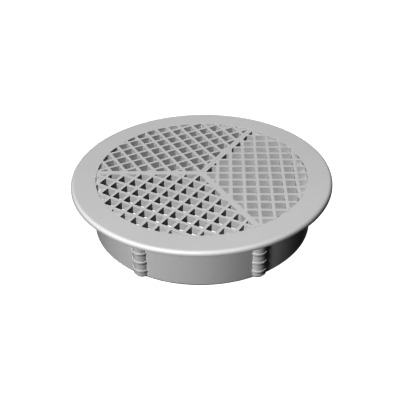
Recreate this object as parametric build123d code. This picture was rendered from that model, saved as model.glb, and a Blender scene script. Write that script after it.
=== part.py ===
"""Round ceiling air diffuser: a barbed neck collar and a pull-off face with three egg-crate sectors.

Millimetres. +Z is the way the face looks, towards the room. The origin is the centre of the
neck's lower rim, so the diffuser stands face up on that rim at z = 0.
"""
from build123d import *
from math import cos, hypot, radians, sin, sqrt
import os

# Face
face_radius = 100.0
overall_height = 41.4
flange_thickness = 3.6
rim_rounding = 2.8

# Neck collar, which stays in the ceiling
neck_radius = 84.75
collar_wall = 1.45
lead_in_depth = 1.0
lead_in_height = 1.3

# Spigot behind the face, which plugs into the collar
lift_gap = 0.3
spigot_wall = 1.1
spigot_depth = 14.0
lip_overhang = 0.9
lip_depth = 3.3

# Egg-crate sectors, each a slice about its own middle line
sector_count = 3
grid_pitch = 10.0
bar_width = 2.5
grid_depth = 5.8
first_cross_bar = 2.67
fit_gap = 0.05
smallest_hole = 0.05

# Carrier that holds the sectors up against the lip
carrier_thickness = 2.5
carrier_ledge = 3.0
carrier_wall = 1.4
carrier_skirt = 5.5
arm_width = 5.0
hub_radius = 7.0
hub_depth = 4.0

# Barbed grips on the neck
grip_count = 6
grip_radius = 6.5
grip_inset = 2.4
barb_depth = 0.45
barb_height = 1.7
barb_lead = 0.25
barb_pitch = 7.65
lowest_barb = 7.3
grip_top_gap = 0.5
tongue_width = 3.0
tongue_margin = 5.0

# Leaf springs that hold the face in the collar, and their rivets
spring_width = 8.0
spring_thickness = 0.5
spring_foot = 5.5
spring_drop = 6.5
spring_tail = 6.0
spring_tail_inset = 1.8
rivet_radius = 1.25
rivet_head_radius = 2.2
rivet_head_height = 0.9

# Foam seal between the flange and the ceiling
seal_thickness = 2.0
seal_width = 5.0
seal_inset = 3.0

# Heights above the neck's rim
flange_back = overall_height - flange_thickness
lip_bottom = overall_height - lip_depth
grid_bottom = overall_height - grid_depth
carrier_bottom = grid_bottom - carrier_thickness
skirt_bottom = carrier_bottom - carrier_skirt
spigot_bottom = min(overall_height - spigot_depth, skirt_bottom)
rivet_height = (carrier_bottom + skirt_bottom) / 2
grip_top = flange_back - grip_top_gap

# Radii, from the neck inwards, so that each ring fits inside the one before it
collar_bore = neck_radius - collar_wall
spigot_radius = collar_bore - lift_gap
spigot_bore = spigot_radius - spigot_wall
opening_radius = spigot_bore - lip_overhang
carrier_radius = spigot_bore - fit_gap
carrier_bore = carrier_radius - carrier_wall
ledge_bore = opening_radius - carrier_ledge
seal_radius = face_radius - seal_inset

# A flat spring strip stands inside a round wall at these distances from the middle
spring_seat = sqrt(carrier_bore**2 - (spring_width / 2) ** 2) - fit_gap
spring_crown = sqrt((collar_bore - lift_gap) ** 2 - (spring_width / 2) ** 2)

sector_angle = 360.0 / sector_count


def turned(corners):
    """A body of revolution about Z, from (radius, height) corners."""
    outline = Polyline(*[(radius, 0, height) for radius, height in corners], close=True)
    return revolve(make_face(outline), Axis.Z)


def box_between(low, high):
    """A box from its lowest to its highest corner."""
    size = [upper - lower for lower, upper in zip(low, high)]
    middle = [(upper + lower) / 2 for lower, upper in zip(low, high)]
    return Pos(*middle) * Box(*size)


def around(shape, count, start=0.0):
    """Copies of a shape, evenly spaced about Z."""
    return [Rot(0, 0, start + turn * 360.0 / count) * shape for turn in range(count)]


def outer_edge_at(shape, height):
    """The largest of the circular edges at a height."""
    level = shape.edges().filter_by(GeomType.CIRCLE).filter_by_position(Axis.Z, height, height)
    return level.sort_by(lambda edge: edge.radius)[-1]


def radial_drill():
    """A drill along +X through the spring's foot, the carrier's skirt and the spigot."""
    reach = spigot_radius - spring_seat + 4 * spring_thickness
    middle = (spigot_radius + spring_seat) / 2
    return Pos(middle, 0, rivet_height) * Rot(0, 90, 0) * Cylinder(rivet_radius + fit_gap, 2 * reach)


def neck_collar():
    """Plain tube of the neck with a lead-in at its foot, slotted for the grips' tongues."""
    lead_in = min(lead_in_depth, 0.8 * collar_wall)
    tube = turned(
        [
            (collar_bore, 0),
            (neck_radius - lead_in, 0),
            (neck_radius, lead_in_height),
            (neck_radius, flange_back),
            (collar_bore, flange_back),
        ]
    )
    half_width = tongue_width / 2 + fit_gap
    slot = box_between(
        (collar_bore - collar_wall, -half_width, tongue_margin - fit_gap),
        (neck_radius + collar_wall, half_width, flange_back - tongue_margin + fit_gap),
    )
    return tube - around(slot, grip_count)


def grip_rib():
    """Bulging grip on the +X side. Its barbs are low rings, each with a flat ledge that bites the hole."""
    core = grip_radius - barb_depth
    corners = [(0, lead_in_height), (core - lead_in_depth, lead_in_height), (core, 2 * lead_in_height)]
    ledge = lowest_barb
    while ledge < grip_top:
        barb_foot = ledge - barb_height
        corners += [(core, barb_foot), (grip_radius, barb_foot + barb_lead), (grip_radius, ledge), (core, ledge)]
        ledge += barb_pitch
    corners += [(core, grip_top), (0, grip_top)]
    column = turned(corners)
    tongue = box_between(
        (collar_bore - collar_wall, -tongue_width / 2, tongue_margin),
        (neck_radius + barb_depth, tongue_width / 2, flange_back - tongue_margin),
    )
    bore = Pos(0, 0, overall_height / 2) * Cylinder(collar_bore, 2 * overall_height)
    neck = Pos(0, 0, overall_height / 2) * Cylinder(neck_radius, 2 * overall_height)
    return (Pos(neck_radius - grip_inset, 0, 0) * column - neck) + (tongue - bore)


def face_flange():
    """Flat flange with a rounded rim, a lip around the opening and the spigot behind it."""
    body = turned(
        [
            (opening_radius, overall_height),
            (face_radius, overall_height),
            (face_radius, flange_back),
            (spigot_radius, flange_back),
            (spigot_radius, spigot_bottom),
            (spigot_bore, spigot_bottom),
            (spigot_bore, lip_bottom),
            (opening_radius, lip_bottom),
        ]
    )
    body = fillet(outer_edge_at(body, overall_height), min(rim_rounding, 0.9 * flange_thickness))
    return body - around(radial_drill(), sector_count)


def wedge(radius, inset):
    """The flat area of one sector about +X, drawn in from its two straight sides."""
    half_angle = radians(sector_angle / 2)
    apex = inset / sin(half_angle)
    reach = 3 * radius
    side = (apex + reach * cos(half_angle), reach * sin(half_angle))
    far = apex + 2 * reach
    outline = Polyline((apex, 0), side, (far, side[1]), (far, -side[1]), (side[0], -side[1]), close=True)
    return Circle(radius) & make_face(outline)


def sector_holes():
    """The square cells of one sector, trimmed where its side bars cut them."""
    rows = int(opening_radius // grid_pitch) + 2
    cell = Rectangle(grid_pitch - bar_width, grid_pitch - bar_width)
    cells = []
    for column in range(rows):
        for row in range(-rows, rows):
            across = first_cross_bar + (column + 0.5) * grid_pitch
            along = (row + 0.5) * grid_pitch
            if hypot(across, along) < opening_radius + grid_pitch:
                cells.append(Pos(across, along) * cell)
    trimmed = (Sketch() + cells) & wedge(face_radius + grid_pitch, bar_width)
    return [hole for hole in trimmed.faces() if hole.area > smallest_hole]


def sector_grid():
    """One egg-crate sector. Its bars end in feet that hook under the flange's lip."""
    holes = sector_holes()
    feet = wedge(spigot_bore - fit_gap, fit_gap / 2) - holes
    bars = wedge(opening_radius - fit_gap, fit_gap / 2) - holes
    lower = extrude(feet, lip_bottom - fit_gap - grid_bottom)
    upper = extrude(bars, grid_depth)
    return Pos(0, 0, grid_bottom) * (lower + upper)


def core_carrier():
    """Ring with three arms under the sectors' side bars, and a skirt that lies in the spigot."""
    ring = turned(
        [
            (ledge_bore, grid_bottom),
            (carrier_radius, grid_bottom),
            (carrier_radius, skirt_bottom),
            (carrier_bore, skirt_bottom),
            (carrier_bore, carrier_bottom),
            (ledge_bore, carrier_bottom),
        ]
    )
    arm = box_between((0, -arm_width / 2, carrier_bottom), (opening_radius, arm_width / 2, grid_bottom))
    hub = Pos(0, 0, grid_bottom - hub_depth / 2) * Cylinder(hub_radius, hub_depth)
    return ring + around(arm, sector_count, sector_angle / 2) + hub - around(radial_drill(), sector_count)


def retaining_spring():
    """Bent leaf spring on the +X side: a riveted foot, a bow that bears on the collar and a tail."""
    bends = [
        (spring_seat, rivet_height + spring_foot / 2),
        (spring_seat, spigot_bottom - spring_thickness),
        (spring_crown, spigot_bottom - spring_drop),
        (spring_crown - spring_tail_inset, spigot_bottom - spring_drop - spring_tail),
    ]
    inner = [(reach - spring_thickness, height) for reach, height in reversed(bends)]
    side = make_face(Polyline(*[(reach, 0, height) for reach, height in bends + inner], close=True))
    return extrude(side, spring_width / 2, both=True) - radial_drill()


def spring_rivet():
    """Rivet on the +X side, with its head on the spring and its end flush in the spigot."""
    head_face = spring_seat - spring_thickness
    shank_end = spigot_radius - lift_gap
    axis = Pos(head_face, 0, rivet_height) * Rot(0, 90, 0)
    shank = Cylinder(rivet_radius, shank_end - head_face, align=(Align.CENTER, Align.CENTER, Align.MIN))
    head = Cylinder(rivet_head_radius, rivet_head_height, align=(Align.CENTER, Align.CENTER, Align.MAX))
    head = fillet(head.edges().sort_by(Axis.Z)[0], 0.7 * rivet_head_height)
    return axis * (shank + head)


def ceiling_seal():
    """Foam ring stuck to the flange's back."""
    low = flange_back - seal_thickness
    inner = seal_radius - seal_width
    return turned([(inner, low), (seal_radius, low), (seal_radius, flange_back), (inner, flange_back)])


nodes = {
    "neck_collar": neck_collar(),
    "face_flange": face_flange(),
    "core_carrier": core_carrier(),
    "ceiling_seal": ceiling_seal(),
}
for number, rib in enumerate(around(grip_rib(), grip_count), start=1):
    nodes[f"grip_rib_{number}"] = rib
for number, grid in enumerate(around(sector_grid(), sector_count), start=1):
    nodes[f"sector_grid_{number}"] = grid
for number, spring in enumerate(around(retaining_spring(), sector_count), start=1):
    nodes[f"retaining_spring_{number}"] = spring
for number, rivet in enumerate(around(spring_rivet(), sector_count), start=1):
    nodes[f"spring_rivet_{number}"] = rivet

os.makedirs("parts", exist_ok=True)
for name, shape in nodes.items():
    export_step(shape, f"parts/{name}.step")
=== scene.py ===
"""Looks of the round ceiling air diffuser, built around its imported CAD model. Metres, +Z up.

The diffuser stands face up on its neck. The neck's pieces ride on "collar", and the flange, the
egg-crate sectors and what holds them ride on "face", which pulls off the neck.
"""
from math import acos, cos, pi, radians, sin, tan

import bmesh
import bpy
from mathutils import Matrix, Vector


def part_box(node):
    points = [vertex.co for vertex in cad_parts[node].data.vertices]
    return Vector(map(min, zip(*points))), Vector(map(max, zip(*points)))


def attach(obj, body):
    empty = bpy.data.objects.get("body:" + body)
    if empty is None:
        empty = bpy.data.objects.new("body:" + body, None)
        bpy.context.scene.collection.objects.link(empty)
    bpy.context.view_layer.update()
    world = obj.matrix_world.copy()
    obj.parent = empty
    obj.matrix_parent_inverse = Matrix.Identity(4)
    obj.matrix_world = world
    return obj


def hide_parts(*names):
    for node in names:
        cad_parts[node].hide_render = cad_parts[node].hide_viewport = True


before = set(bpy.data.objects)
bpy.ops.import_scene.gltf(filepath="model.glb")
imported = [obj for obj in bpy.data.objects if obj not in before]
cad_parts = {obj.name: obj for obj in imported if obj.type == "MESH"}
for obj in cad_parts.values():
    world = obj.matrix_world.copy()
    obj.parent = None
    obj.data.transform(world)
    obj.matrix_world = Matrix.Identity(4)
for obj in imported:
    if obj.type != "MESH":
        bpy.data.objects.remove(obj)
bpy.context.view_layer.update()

MM = 0.001

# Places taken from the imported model
FLANGE_LOW, FLANGE_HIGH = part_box("face_flange")
COLLAR_LOW, COLLAR_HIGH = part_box("neck_collar")
SEAL_LOW, SEAL_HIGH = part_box("ceiling_seal")
GRIP_LOW, GRIP_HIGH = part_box("grip_rib_1")
SPRING_LOW, SPRING_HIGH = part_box("retaining_spring_1")
RIVET_LOW, RIVET_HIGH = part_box("spring_rivet_1")

FACE_TOP = FLANGE_HIGH.z
FLANGE_BACK = COLLAR_HIGH.z
FACE_RADIUS = -FLANGE_LOW.x
NECK_RADIUS = COLLAR_HIGH.x

# Wall thicknesses and clearances, from the neck inwards
COLLAR_WALL = 1.45 * MM
LEAD_IN = Vector((1.0, 1.3)) * MM
LIFT_GAP = 0.3 * MM
SPIGOT_WALL = 1.1 * MM
LIP_OVERHANG = 0.9 * MM
LIP_DEPTH = 3.3 * MM
COLLAR_BORE = NECK_RADIUS - COLLAR_WALL
SPIGOT_RADIUS = COLLAR_BORE - LIFT_GAP
SPIGOT_BORE = SPIGOT_RADIUS - SPIGOT_WALL
OPENING_RADIUS = SPIGOT_BORE - LIP_OVERHANG

# Barbed grips and their tongues
GRIP_COUNT = 6
GRIP_RADIUS = 6.5 * MM
GRIP_MIDDLE = NECK_RADIUS - 2.4 * MM
BARB_DEPTH = 0.45 * MM
BARB_HEIGHT = 1.7 * MM
BARB_LEAD = 0.25 * MM
BARB_PITCH = 7.65 * MM
LOWEST_BARB = 7.3 * MM
TONGUE_WIDTH = 3.0 * MM
TONGUE_MARGIN = 5.0 * MM
FIT_GAP = 0.05 * MM

# Sectors, and the rivets behind them
SECTOR_COUNT = 3
RIVET_HOLE = 1.3 * MM
RIVET_HEIGHT = (RIVET_LOW.z + RIVET_HIGH.z) / 2

# Mesh detail
ROUND_STEPS = 288
GRIP_STEPS = 64
RIVET_STEPS = 48
DRILL_STEPS = 32
FLAT_MARGIN = 0.01 * MM
BROKEN_EDGE = 0.12 * MM
ALONG_X = Matrix.Translation((0, 0, RIVET_HEIGHT)) @ Matrix.Rotation(pi / 2, 4, "Y")


# ---------------------------------------------------------------- mesh tools


def arc_between(centre, start, end, steps):
    """Points of an arc about a centre, from one point to another, both included."""
    first, last = start - centre, end - centre
    turn = first.angle(last)
    points = []
    for step in range(steps + 1):
        share = step / steps
        points.append(centre + (first * sin((1 - share) * turn) + last * sin(share * turn)) / sin(turn))
    return points


def rounded(corners, steps=4, closed=True):
    """An outline with its corners rounded. Each corner is (across, up, radius of its rounding).

    A point just past each end of a rounding keeps the flat beside it evenly shaded.
    """
    points = []
    for index, (across, up, radius) in enumerate(corners):
        here = Vector((across, up))
        at_end = not closed and index in (0, len(corners) - 1)
        if radius == 0 or at_end:
            points.append(here)
            continue
        back = Vector(corners[index - 1][:2]) - here
        ahead = Vector(corners[(index + 1) % len(corners)][:2]) - here
        half = back.angle(ahead) / 2
        cut = radius / tan(half)
        middle = (back.normalized() + ahead.normalized()).normalized()
        centre = here + middle * (cut / cos(half))
        arc = arc_between(centre, here + back.normalized() * cut, here + ahead.normalized() * cut, steps)
        points += [arc[0] + back.normalized() * FLAT_MARGIN, *arc, arc[-1] + ahead.normalized() * FLAT_MARGIN]
    return points


def mesh_piece(name, shape):
    """A new object from a bmesh, with clean outward faces."""
    bmesh.ops.remove_doubles(shape, verts=shape.verts, dist=0.2e-6)
    bmesh.ops.recalc_face_normals(shape, faces=shape.faces)
    mesh = bpy.data.meshes.new(name)
    shape.to_mesh(mesh)
    shape.free()
    piece = bpy.data.objects.new(name, mesh)
    bpy.context.scene.collection.objects.link(piece)
    return piece


def lathe(shape, outline, steps=ROUND_STEPS, place=Matrix.Identity(4)):
    """Adds a closed (radius, height) outline turned about Z, moved to its place."""
    rings = []
    for step in range(steps):
        angle = 2 * pi * step / steps
        rings.append(
            [shape.verts.new(place @ Vector((p.x * cos(angle), p.x * sin(angle), p.y))) for p in outline]
        )
    for ring, following in zip(rings, rings[1:] + rings[:1]):
        for index in range(len(outline)):
            nearer = (index + 1) % len(outline)
            shape.faces.new((ring[index], following[index], following[nearer], ring[nearer]))


def combine(piece, shape, operation="DIFFERENCE"):
    """Takes closed shapes away from the piece's mesh, or joins them to it with "UNION"."""
    other = mesh_piece("other_shape", shape)
    change = piece.modifiers.new("combined", "BOOLEAN")
    change.object = other
    change.operation = operation
    change.solver = "EXACT"
    graph = bpy.context.evaluated_depsgraph_get()
    finished = bpy.data.meshes.new_from_object(piece.evaluated_get(graph))
    piece.modifiers.clear()
    piece.data = finished
    bpy.data.objects.remove(other)


def add_box(shape, low, high):
    """Adds a closed box, from its lowest to its highest corner."""
    low, high = Vector(low), Vector(high)
    place = Matrix.Translation((low + high) / 2) @ Matrix.Diagonal((*(high - low), 1.0))
    return bmesh.ops.create_cube(shape, size=1.0, matrix=place)["verts"]


def turn_shape(shape, verts, angle):
    """Turns these points of the shape about Z."""
    bmesh.ops.rotate(shape, verts=verts, matrix=Matrix.Rotation(angle, 3, "Z"))


def soften(piece, width):
    """Small rounded edges wherever two faces meet sharply."""
    softened = piece.modifiers.new("soft_edges", "BEVEL")
    softened.width = width
    softened.segments = 2
    softened.limit_method = "ANGLE"
    softened.angle_limit = radians(40)
    softened.use_clamp_overlap = True
    even = piece.modifiers.new("even_flats", "WEIGHTED_NORMAL")
    even.weight = 100
    even.keep_sharp = True


def smooth_piece(piece, sharpest=35):
    """Smooth shading between faces that meet at less than the sharpest angle, in degrees."""
    piece.data.shade_smooth()
    piece.data.set_sharp_from_angle(angle=radians(sharpest))


def finish_piece(piece, node, body, material):
    """Puts the piece in place of its CAD node."""
    piece.data.materials.clear()
    piece.data.materials.append(material)
    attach(piece, body)
    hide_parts(node)


# ---------------------------------------------------------------- material tools


def new_group(name, inputs, outputs):
    """A shader group with named sockets. Inputs are (name, kind, default)."""
    group = bpy.data.node_groups.new(name, "ShaderNodeTree")
    for label, kind, default in inputs:
        socket = group.interface.new_socket(name=label, in_out="INPUT", socket_type=kind)
        socket.default_value = default
    for label, kind in outputs:
        group.interface.new_socket(name=label, in_out="OUTPUT", socket_type=kind)
    return group, group.nodes.new("NodeGroupInput"), group.nodes.new("NodeGroupOutput")


def new_node(tree, kind, links=None, **settings):
    """A node with its settings, and its inputs set or linked by name or number."""
    node = tree.nodes.new(kind)
    for key, value in settings.items():
        setattr(node, key, value)
    for key, value in (links or {}).items():
        if isinstance(value, bpy.types.NodeSocket):
            tree.links.new(value, node.inputs[key])
        else:
            node.inputs[key].default_value = value
    return node


def maths(tree, operation, first, second=0.0, clamp=False):
    """One sum, and its result socket."""
    links = {0: first, 1: second}
    return new_node(tree, "ShaderNodeMath", links, operation=operation, use_clamp=clamp).outputs[0]


def spread(tree, value, low, high, to_low=0.0, to_high=1.0):
    """A value moved from one range to another, and kept inside it."""
    links = {"Value": value, "From Min": low, "From Max": high, "To Min": to_low, "To Max": to_high}
    return new_node(tree, "ShaderNodeMapRange", links, clamp=True).outputs["Result"]


def blend_colours(tree, share, first, second):
    """Two colours mixed by a share. A mix node's colour sockets are its inputs 6 and 7, and its output 2."""
    return new_node(tree, "ShaderNodeMix", {0: share, 6: first, 7: second}, data_type="RGBA").outputs[2]


def own_place(tree):
    """The place of a surface point in its piece's own frame."""
    return new_node(tree, "ShaderNodeTexCoord").outputs["Object"]


def noise(tree, place, scale, detail):
    """Soft noise from 0 to 1."""
    links = {"Vector": place, "Scale": scale, "Detail": detail}
    return new_node(tree, "ShaderNodeTexNoise", links).outputs["Fac"]


def make_moulded_skin():
    """Moulded plastic: faint flow clouding, and the fine spark grain of the mould."""
    group, given, result = new_group(
        "moulded_skin",
        [
            ("Colour", "NodeSocketColor", (0.7, 0.7, 0.7, 1)),
            ("Clouding", "NodeSocketFloat", 0.03),
            ("Cloud Scale", "NodeSocketFloat", 14.0),
            ("Roughness", "NodeSocketFloat", 0.45),
            ("Roughness Spread", "NodeSocketFloat", 0.08),
            ("Grain Scale", "NodeSocketFloat", 4200.0),
        ],
        [("Colour", "NodeSocketColor"), ("Roughness", "NodeSocketFloat"), ("Grain", "NodeSocketFloat")],
    )
    place = own_place(group)
    cloud = noise(group, place, given.outputs["Cloud Scale"], 3.0)
    grain = noise(group, place, given.outputs["Grain Scale"], 2.0)
    swing = maths(group, "MULTIPLY", maths(group, "SUBTRACT", cloud, 0.5), given.outputs["Clouding"])
    shade = maths(group, "ADD", 1.0, maths(group, "MULTIPLY", swing, 2.0))
    tinted = new_node(
        group, "ShaderNodeVectorMath", {0: given.outputs["Colour"], "Scale": shade}, operation="SCALE"
    ).outputs[0]
    mixed = maths(group, "ADD", maths(group, "MULTIPLY", cloud, 0.6), maths(group, "MULTIPLY", grain, 0.4))
    change = maths(group, "MULTIPLY", maths(group, "SUBTRACT", mixed, 0.5), given.outputs["Roughness Spread"])
    rough = maths(group, "ADD", given.outputs["Roughness"], change, clamp=True)
    group.links.new(tinted, result.inputs["Colour"])
    group.links.new(rough, result.inputs["Roughness"])
    group.links.new(grain, result.inputs["Grain"])
    return group


def make_edge_wear():
    """A mask of rubbed edges: 1 on a worn edge, 0 on plain faces."""
    group, given, result = new_group(
        "edge_wear",
        [("Width", "NodeSocketFloat", 0.0004), ("Breakup Scale", "NodeSocketFloat", 260.0)],
        [("Mask", "NodeSocketFloat")],
    )
    bevel = new_node(group, "ShaderNodeBevel", {"Radius": given.outputs["Width"]}, samples=4)
    normals = {0: bevel.outputs["Normal"], 1: new_node(group, "ShaderNodeNewGeometry").outputs["Normal"]}
    agree = new_node(group, "ShaderNodeVectorMath", normals, operation="DOT_PRODUCT").outputs["Value"]
    rim = spread(group, agree, 0.995, 0.86)
    patches = spread(group, noise(group, own_place(group), given.outputs["Breakup Scale"], 4.0), 0.42, 0.62)
    group.links.new(maths(group, "MULTIPLY", rim, patches), result.inputs["Mask"])
    return group


def make_settled_dust():
    """A mask of fine dust: most on faces that look up, in soft patches."""
    group, given, result = new_group(
        "settled_dust",
        [("Patch Scale", "NodeSocketFloat", 35.0), ("Speck Scale", "NodeSocketFloat", 1500.0)],
        [("Mask", "NodeSocketFloat")],
    )
    place = own_place(group)
    facing = new_node(group, "ShaderNodeNewGeometry").outputs["Normal"]
    height = new_node(group, "ShaderNodeSeparateXYZ", {0: facing}).outputs["Z"]
    up = spread(group, height, -0.2, 1.0, to_low=0.25, to_high=1.0)
    patches = noise(group, place, given.outputs["Patch Scale"], 5.0)
    specks = noise(group, place, given.outputs["Speck Scale"], 1.0)
    grainy = maths(group, "MULTIPLY", spread(group, patches, 0.4, 0.7), spread(group, specks, 0.35, 0.65))
    group.links.new(maths(group, "MULTIPLY", grainy, up), result.inputs["Mask"])
    return group


MOULDED_SKIN = make_moulded_skin()
EDGE_WEAR = make_edge_wear()
SETTLED_DUST = make_settled_dust()


def place_group(tree, group, **values):
    """A group in a material, with its own values."""
    node = tree.nodes.new("ShaderNodeGroup")
    node.node_tree = group
    for label, value in values.items():
        node.inputs[label.replace("_", " ")].default_value = value
    return node


def new_material(name):
    """An empty node material, with its Principled shader."""
    material = bpy.data.materials.new(name)
    material.use_nodes = True
    return material, material.node_tree, material.node_tree.nodes["Principled BSDF"]


def dress(tree, shader, colour, roughness, height, strength, depth):
    """Gives a shader its colour and roughness, and a relief of this strength and depth."""
    relief = new_node(tree, "ShaderNodeBump", {"Height": height, "Strength": strength, "Distance": depth})
    tree.links.new(colour, shader.inputs["Base Color"])
    tree.links.new(roughness, shader.inputs["Roughness"])
    tree.links.new(relief.outputs["Normal"], shader.inputs["Normal"])


def moulded_plastic(name, colour, roughness, cloud_scale, grain_depth, worn=0.25, dusty=0.06):
    """Satin injection-moulded plastic with faint dust and slightly rubbed edges."""
    material, tree, shader = new_material(name)
    skin = place_group(
        tree, MOULDED_SKIN, Colour=colour, Clouding=0.035, Cloud_Scale=cloud_scale, Roughness=roughness
    )
    wear = place_group(tree, EDGE_WEAR, Width=0.35 * MM)
    dust = place_group(tree, SETTLED_DUST)
    rubbed = tuple(min(1.0, channel * 1.1) for channel in colour[:3]) + (1,)
    dust_colour = (colour[0] * 0.80, colour[1] * 0.78, colour[2] * 0.75, 1)
    worn_share = maths(tree, "MULTIPLY", wear.outputs["Mask"], worn)
    dust_share = maths(tree, "MULTIPLY", dust.outputs["Mask"], dusty)
    paint = blend_colours(tree, worn_share, skin.outputs["Colour"], rubbed)
    paint = blend_colours(tree, dust_share, paint, dust_colour)
    dulling = maths(tree, "MULTIPLY", dust_share, 1.5)
    dulled = maths(tree, "ADD", skin.outputs["Roughness"], dulling, clamp=True)
    dress(tree, shader, paint, dulled, skin.outputs["Grain"], strength=0.25, depth=grain_depth)
    shader.inputs["IOR"].default_value = 1.6
    shader.inputs["Specular IOR Level"].default_value = 0.25
    return material


def rolled_steel(name):
    """Spring steel strip: lengthways rolling marks and a faint blue-grey scale."""
    material, tree, shader = new_material(name)
    drawn_out = {"Vector": own_place(tree), "Scale": (900.0, 900.0, 18.0)}
    lines = noise(tree, new_node(tree, "ShaderNodeMapping", drawn_out).outputs[0], 4.0, 4.0)
    wear = place_group(tree, EDGE_WEAR, Width=0.2 * MM)
    worn_share = maths(tree, "MULTIPLY", wear.outputs["Mask"], 0.5)
    colour = blend_colours(tree, lines, (0.34, 0.36, 0.40, 1), (0.62, 0.62, 0.63, 1))
    colour = blend_colours(tree, worn_share, colour, (0.75, 0.75, 0.75, 1))
    roughness = spread(tree, lines, 0.0, 1.0, to_low=0.26, to_high=0.48)
    dress(tree, shader, colour, roughness, lines, strength=0.15, depth=0.02 * MM)
    shader.inputs["Metallic"].default_value = 1.0
    return material


def bright_aluminium(name):
    """Headed aluminium: fine pitting and a soft sheen."""
    material, tree, shader = new_material(name)
    pits = noise(tree, own_place(tree), 2600.0, 3.0)
    colour = blend_colours(tree, pits, (0.66, 0.66, 0.67, 1), (0.86, 0.86, 0.87, 1))
    roughness = spread(tree, pits, 0.2, 0.8, to_low=0.22, to_high=0.40)
    dress(tree, shader, colour, roughness, pits, strength=0.2, depth=0.02 * MM)
    shader.inputs["Metallic"].default_value = 1.0
    return material


def cell_foam(name):
    """Dark closed-cell foam: tiny round cells with pale rims."""
    material, tree, shader = new_material(name)
    pores = new_node(tree, "ShaderNodeTexVoronoi", {"Vector": own_place(tree), "Scale": 2200.0})
    cells = pores.outputs["Distance"]
    dust = place_group(tree, SETTLED_DUST)
    rims = spread(tree, cells, 0.1, 0.7)
    dust_share = maths(tree, "MULTIPLY", dust.outputs["Mask"], 0.3)
    colour = blend_colours(tree, rims, (0.020, 0.020, 0.022, 1), (0.075, 0.075, 0.08, 1))
    colour = blend_colours(tree, dust_share, colour, (0.3, 0.29, 0.27, 1))
    roughness = spread(tree, cells, 0.0, 0.8, to_low=0.95, to_high=0.75)
    dress(tree, shader, colour, roughness, cells, strength=0.8, depth=0.2 * MM)
    return material


FACE_GREY = (0.49, 0.49, 0.49, 1)
NECK_GREY = (0.50, 0.50, 0.50, 1)
FACE_PLASTIC = moulded_plastic(
    "face_plastic", FACE_GREY, roughness=0.52, cloud_scale=12.0, grain_depth=0.015 * MM
)
NECK_PLASTIC = moulded_plastic(
    "neck_plastic", NECK_GREY, roughness=0.52, cloud_scale=18.0, grain_depth=0.02 * MM, worn=0.2
)
GRIP_PLASTIC = moulded_plastic(
    "grip_plastic", NECK_GREY, roughness=0.48, cloud_scale=40.0, grain_depth=0.015 * MM, worn=0.1
)
SPRING_STEEL = rolled_steel("spring_steel")
RIVET_ALUMINIUM = bright_aluminium("rivet_aluminium")
SEAL_FOAM = cell_foam("seal_foam")


# ---------------------------------------------------------------- neck


def build_neck_collar():
    """Tube with a lead-in around its foot and fine broken edges."""
    edge = BROKEN_EDGE
    outline = rounded(
        [
            (COLLAR_BORE, COLLAR_LOW.z, edge),
            (NECK_RADIUS - LEAD_IN.x, COLLAR_LOW.z, edge),
            (NECK_RADIUS, COLLAR_LOW.z + LEAD_IN.y, edge),
            (NECK_RADIUS, FLANGE_BACK, edge),
            (COLLAR_BORE, FLANGE_BACK, edge),
        ],
        steps=5,
    )
    shape = bmesh.new()
    lathe(shape, outline)
    piece = mesh_piece("collar_tube", shape)
    slots = bmesh.new()
    half_width = TONGUE_WIDTH / 2 + FIT_GAP
    for number in range(GRIP_COUNT):
        low = (COLLAR_BORE - COLLAR_WALL, -half_width, TONGUE_MARGIN - FIT_GAP)
        high = (NECK_RADIUS + COLLAR_WALL, half_width, FLANGE_BACK - TONGUE_MARGIN + FIT_GAP)
        turn_shape(slots, add_box(slots, low, high), 2 * pi * number / GRIP_COUNT)
    combine(piece, slots)
    smooth_piece(piece)
    finish_piece(piece, "neck_collar", "collar", NECK_PLASTIC)


def grip_outline():
    """Outline of a barbed grip about its own axis, from its foot to its top."""
    core = GRIP_RADIUS - BARB_DEPTH
    edge = 0.03 * MM
    foot = GRIP_LOW.z
    corners = [(0.0, foot, 0.0), (core - LEAD_IN.x, foot, edge), (core, foot + LEAD_IN.y, edge)]
    ledge = LOWEST_BARB
    while ledge < GRIP_HIGH.z:
        barb_foot = ledge - BARB_HEIGHT
        corners += [(core, barb_foot, 0.0), (GRIP_RADIUS, barb_foot + BARB_LEAD, edge)]
        corners += [(GRIP_RADIUS, ledge, edge), (core, ledge, 0.0)]
        ledge += BARB_PITCH
    corners += [(core, GRIP_HIGH.z, edge), (0.0, GRIP_HIGH.z, 0.0)]
    return rounded(corners, steps=5, closed=False)[1:-1]


def build_grip(number):
    """Barbed grip with its back just inside the neck's wall, and its tongue through the slot."""
    back = NECK_RADIUS - FIT_GAP
    shape = bmesh.new()
    rings = []
    for point in grip_outline():
        widest = acos((back**2 - GRIP_MIDDLE**2 - point.x**2) / (2 * GRIP_MIDDLE * point.x))
        ring = []
        for step in range(GRIP_STEPS + 1):
            angle = widest * (2 * step / GRIP_STEPS - 1)
            around = (GRIP_MIDDLE + point.x * cos(angle), point.x * sin(angle), point.y)
            ring.append(shape.verts.new(around))
        rings.append(ring)
    for lower, upper in zip(rings, rings[1:]):
        for step in range(GRIP_STEPS + 1):
            beside = (step + 1) % (GRIP_STEPS + 1)
            shape.faces.new((lower[step], lower[beside], upper[beside], upper[step]))
    shape.faces.new(rings[0])
    shape.faces.new(rings[-1])
    tongue = bmesh.new()
    add_box(
        tongue,
        (COLLAR_BORE, -TONGUE_WIDTH / 2, TONGUE_MARGIN),
        (NECK_RADIUS + BARB_DEPTH, TONGUE_WIDTH / 2, FLANGE_BACK - TONGUE_MARGIN),
    )
    for half in (shape, tongue):
        turn_shape(half, half.verts, 2 * pi * (number - 1) / GRIP_COUNT)
    piece = mesh_piece(f"barbed_grip_{number}", shape)
    combine(piece, tongue, "UNION")
    smooth_piece(piece)
    finish_piece(piece, f"grip_rib_{number}", "collar", GRIP_PLASTIC)


# ---------------------------------------------------------------- face


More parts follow.
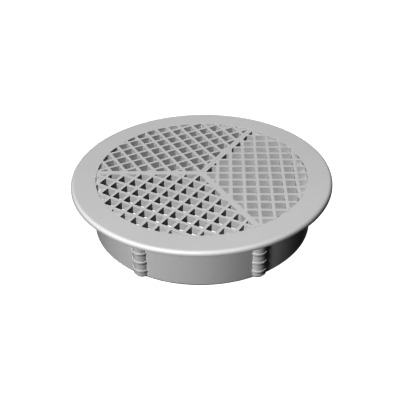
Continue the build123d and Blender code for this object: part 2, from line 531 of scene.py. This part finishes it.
def build_face_flange():
    """Flat flange with a rounded rim, the lip around the opening and the spigot behind it."""
    edge, rim = BROKEN_EDGE, 2.8 * MM
    spigot_bottom = FLANGE_LOW.z
    outline = rounded(
        [
            (OPENING_RADIUS, FACE_TOP, edge),
            (FACE_RADIUS, FACE_TOP, rim),
            (FACE_RADIUS, FLANGE_BACK, 2 * edge),
            (SPIGOT_RADIUS, FLANGE_BACK, edge),
            (SPIGOT_RADIUS, spigot_bottom, 2 * edge),
            (SPIGOT_BORE, spigot_bottom, 2 * edge),
            (SPIGOT_BORE, FACE_TOP - LIP_DEPTH, edge),
            (OPENING_RADIUS, FACE_TOP - LIP_DEPTH, edge),
        ],
        steps=7,
    )
    shape = bmesh.new()
    lathe(shape, outline)
    piece = mesh_piece("flange_and_spigot", shape)
    drills = bmesh.new()
    half_step = Matrix.Rotation(pi / DRILL_STEPS, 4, "Z")
    inside, outside = SPIGOT_BORE - SPIGOT_WALL, SPIGOT_RADIUS + SPIGOT_WALL
    ends = [Vector(end) for end in ((0, inside), (RIVET_HOLE, inside), (RIVET_HOLE, outside), (0, outside))]
    for number in range(SECTOR_COUNT):
        start = len(drills.verts)
        lathe(drills, ends, steps=DRILL_STEPS, place=ALONG_X @ half_step)
        drills.verts.ensure_lookup_table()
        turn_shape(drills, drills.verts[start:], 2 * pi * number / SECTOR_COUNT)
    combine(piece, drills)
    smooth_piece(piece)
    finish_piece(piece, "face_flange", "face", FACE_PLASTIC)


def moulded_copy(name, node, edge):
    """The CAD node's shape as clean flat faces, with its edges softened."""
    shape = bmesh.new()
    shape.from_mesh(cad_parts[node].data)
    bmesh.ops.remove_doubles(shape, verts=shape.verts, dist=1e-6)
    bmesh.ops.dissolve_limit(shape, angle_limit=radians(1.0), verts=shape.verts, edges=shape.edges)
    piece = mesh_piece(name, shape)
    smooth_piece(piece, sharpest=50)
    soften(piece, edge)
    return piece


def build_sector_grid(number):
    """One egg-crate sector."""
    piece = moulded_copy(f"egg_crate_{number}", f"sector_grid_{number}", 0.04 * MM)
    finish_piece(piece, f"sector_grid_{number}", "face", FACE_PLASTIC)


def build_core_carrier():
    """Ring and three arms behind the sectors."""
    piece = moulded_copy("carrier_ring", "core_carrier", 0.15 * MM)
    finish_piece(piece, "core_carrier", "face", NECK_PLASTIC)


def build_ceiling_seal():
    """Foam ring with soft corners."""
    width, soft = 5.0 * MM, 0.4 * MM
    outer = SEAL_HIGH.x
    outline = rounded(
        [
            (outer - width, SEAL_LOW.z, soft),
            (outer, SEAL_LOW.z, soft),
            (outer, SEAL_HIGH.z, soft / 2),
            (outer - width, SEAL_HIGH.z, soft / 2),
        ]
    )
    shape = bmesh.new()
    lathe(shape, outline)
    piece = mesh_piece("foam_ring", shape)
    smooth_piece(piece)
    finish_piece(piece, "ceiling_seal", "face", SEAL_FOAM)


def build_spring(number):
    """Leaf spring bent from one strip: a flat foot, a bow that bears on the neck and a tail."""
    thickness, half_width = 0.5 * MM, 4.0 * MM
    tail, tail_inset = 6.0 * MM, 1.8 * MM
    foot_bend, crown_bend = 2.5 * MM, 2.0 * MM
    seat, crown = SPRING_LOW.x + thickness, SPRING_HIGH.x
    bends = [
        (seat, SPRING_HIGH.z, 0.0),
        (seat, FLANGE_LOW.z - thickness, foot_bend),
        (crown, SPRING_LOW.z + tail, crown_bend),
        (crown - tail_inset, SPRING_LOW.z, 0.0),
    ]
    outer = rounded(bends, steps=6, closed=False)
    side = outer + [point - Vector((thickness, 0)) for point in reversed(outer)]
    shape = bmesh.new()
    near = [shape.verts.new((point.x, -half_width, point.y)) for point in side]
    far = [shape.verts.new((point.x, half_width, point.y)) for point in side]
    count = len(side)
    for index in range(count):
        beside = (index + 1) % count
        shape.faces.new((near[index], near[beside], far[beside], far[index]))
    for index in range(count // 2 - 1):
        opposite = count - 1 - index
        for side_row in (near, far):
            shape.faces.new(
                (side_row[index], side_row[index + 1], side_row[opposite - 1], side_row[opposite])
            )
    turn_shape(shape, shape.verts, 2 * pi * (number - 1) / SECTOR_COUNT)
    piece = mesh_piece(f"leaf_spring_{number}", shape)
    smooth_piece(piece)
    soften(piece, 0.06 * MM)
    finish_piece(piece, f"retaining_spring_{number}", "face", SPRING_STEEL)


def build_rivet(number):
    """Domed rivet through the spring's foot, flush in the spigot's wall."""
    head, shank, edge = 2.2 * MM, 1.25 * MM, 0.1 * MM
    flat_top, dome = 0.8 * MM, 1.0 * MM
    head_side, head_rounding = 0.35 * MM, 0.3 * MM
    under_head = SPRING_LOW.x
    outline = rounded(
        [
            (0.0, RIVET_LOW.x, 0.0),
            (flat_top, RIVET_LOW.x, dome),
            (head, under_head - head_side, head_rounding),
            (head, under_head, edge),
            (shank, under_head, 0.0),
            (shank, RIVET_HIGH.x, edge),
            (0.0, RIVET_HIGH.x, 0.0),
        ],
        closed=False,
    )
    shape = bmesh.new()
    lathe(shape, outline, steps=RIVET_STEPS, place=ALONG_X)
    turn_shape(shape, shape.verts, 2 * pi * (number - 1) / SECTOR_COUNT)
    piece = mesh_piece(f"domed_rivet_{number}", shape)
    smooth_piece(piece, sharpest=50)
    finish_piece(piece, f"spring_rivet_{number}", "face", RIVET_ALUMINIUM)


for number in range(1, GRIP_COUNT + 1):
    build_grip(number)
build_neck_collar()
build_face_flange()
for number in range(1, SECTOR_COUNT + 1):
    build_sector_grid(number)
build_core_carrier()
build_ceiling_seal()
for number in range(1, SECTOR_COUNT + 1):
    build_spring(number)
    build_rivet(number)


# ---------------------------------------------------------------- floor, light and camera


def build_floor():
    """Plain pale floor just under the neck's rim.

    It looks white but throws little light back, takes no shadow, and is clear when seen from below.
    """
    half, drop = 4.0, 0.2 * MM
    shape = bmesh.new()
    bmesh.ops.create_grid(shape, x_segments=8, y_segments=8, size=half)
    floor = mesh_piece("floor", shape)
    floor.location.z = -drop
    material, tree, shader = new_material("pale_floor")
    light_path = new_node(tree, "ShaderNodeLightPath").outputs
    glow = maths(tree, "MULTIPLY", light_path["Is Camera Ray"], 1.01)
    mottle = noise(tree, own_place(tree), 3.0, 2.0)
    pale = blend_colours(tree, mottle, (0.98, 0.98, 0.98, 1), (1.0, 1.0, 1.0, 1))
    tree.links.new(pale, shader.inputs["Emission Color"])
    tree.links.new(glow, shader.inputs["Emission Strength"])
    shader.inputs["Base Color"].default_value = (0.06, 0.06, 0.06, 1)
    shader.inputs["Roughness"].default_value = 0.9
    from_below = new_node(tree, "ShaderNodeNewGeometry").outputs["Backfacing"]
    let_through = maths(tree, "MAXIMUM", light_path["Is Shadow Ray"], from_below)
    clear = new_node(tree, "ShaderNodeBsdfTransparent")
    mixed = {0: let_through, 1: shader.outputs[0], 2: clear.outputs[0]}
    either = new_node(tree, "ShaderNodeMixShader", mixed)
    tree.links.new(either.outputs[0], tree.nodes["Material Output"].inputs["Surface"])
    floor.data.materials.append(material)


CAMERA_HEADING = radians(2.1)
CENTRE_OF_FACE = Vector((0, 0, FACE_TOP))


def seen_from_camera(sideways, towards, up):
    """A point given from the face's centre: to the camera's right, towards the camera, and up."""
    return CENTRE_OF_FACE + Matrix.Rotation(CAMERA_HEADING, 3, "Z") @ Vector((sideways, -towards, up))


def build_light(name, azimuth, elevation, size, power):
    """Square soft light that looks at the face's centre. Azimuth 0 is on the camera's side."""
    distance = 6.0
    across = distance * cos(radians(elevation))
    turn = radians(azimuth)
    place = seen_from_camera(across * sin(turn), across * cos(turn), distance * sin(radians(elevation)))
    light = bpy.data.lights.new(name, "AREA")
    light.size = size
    light.energy = power
    lamp = bpy.data.objects.new(name, light)
    lamp.location = place
    lamp.rotation_euler = (CENTRE_OF_FACE - place).to_track_quat("-Z", "Y").to_euler()
    lamp.visible_camera = False
    bpy.context.scene.collection.objects.link(lamp)
    return lamp


def let_past(lamp, names):
    """The lamp lights what is behind these pieces too, so that the neck reads evenly below the flange."""
    passed = bpy.data.collections.new("no_key_shadow")
    for name in names:
        passed.objects.link(bpy.data.objects[name])
    for member in passed.collection_objects:
        member.light_linking.link_state = "EXCLUDE"
    lamp.light_linking.blocker_collection = passed


def build_lights():
    """Key from the front left, low light from behind, a fill from below, and a dim surround."""
    key = build_light("key", azimuth=-32, elevation=49, size=1.0, power=660.0)
    let_past(key, ["flange_and_spigot", "foam_ring", "egg_crate_1", "egg_crate_2", "egg_crate_3"])
    back = build_light("back", azimuth=150, elevation=3, size=0.8, power=340.0)
    below = build_light("below", azimuth=0, elevation=-90, size=2.0, power=120.0)
    for lamp in (back, below):
        lamp.visible_glossy = False
    world = bpy.data.worlds.new("surround")
    world.use_nodes = True
    tree = world.node_tree
    ground = tree.nodes["Background"]
    ground.inputs["Color"].default_value = (1, 1, 1, 1)
    seen = new_node(tree, "ShaderNodeLightPath").outputs["Is Camera Ray"]
    brightness = spread(tree, seen, 0.0, 1.0, to_low=0.13, to_high=1.0)
    tree.links.new(brightness, ground.inputs["Strength"])
    bpy.context.scene.world = world


def build_camera():
    """Long lens that looks down on the face."""
    pitch, tilt = radians(33.8), radians(1.09)
    lens = bpy.data.cameras.new("camera")
    lens.sensor_width = 36.0
    lens.lens = 63.04
    camera = bpy.data.objects.new("camera", lens)
    camera.location = seen_from_camera(sideways=-1.44 * MM, towards=460.8 * MM, up=283.1 * MM)
    turn = Matrix.Rotation(CAMERA_HEADING, 3, "Z") @ Matrix.Rotation(pi / 2 - pitch, 3, "X")
    camera.rotation_euler = (turn @ Matrix.Rotation(-tilt, 3, "Z")).to_euler()
    bpy.context.scene.collection.objects.link(camera)
    bpy.context.scene.camera = camera


build_floor()
build_lights()
build_camera()
bpy.context.scene.view_settings.view_transform = "Raw"
